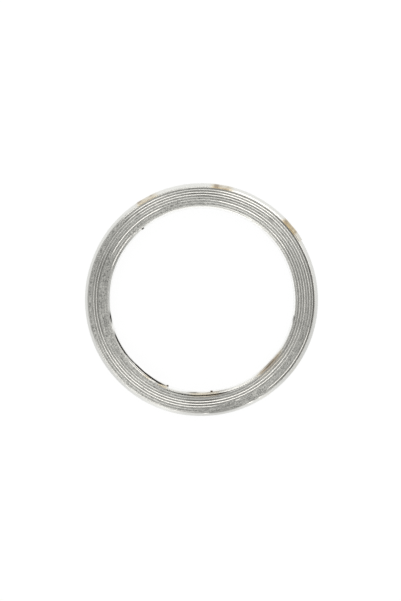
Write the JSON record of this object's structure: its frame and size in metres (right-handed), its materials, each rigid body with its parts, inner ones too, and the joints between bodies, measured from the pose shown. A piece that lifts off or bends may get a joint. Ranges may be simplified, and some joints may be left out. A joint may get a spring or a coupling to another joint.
{
  "type": "exhaust gasket",
  "caption": "Flat ring gasket for an exhaust pipe joint: V-section steel strip wound in a spiral with flexible graphite between its turns.",
  "frame": {"origin": "centre of the lower seal face, on the ring's axis", "axes": "+Z along the ring's axis, out of the upper seal face. +X and +Y are the picture's right and up, so azimuths are the picture's angles"},
  "size_m": [0.0642, 0.0644, 0.0053],
  "materials": {
    "stainless_steel": "thin rolled stainless strip, bright on its flanks and edges, with straw and brown heat tint at the spot welds",
    "flexible_graphite": "grey flexible graphite, granular with a soft metallic sparkle where it is smeared over the steel edges"
  },
  "bodies": {
    "root": {"steel_winding": "stainless_steel", "graphite_filler": "flexible_graphite"}
  },
  "joints": []
}
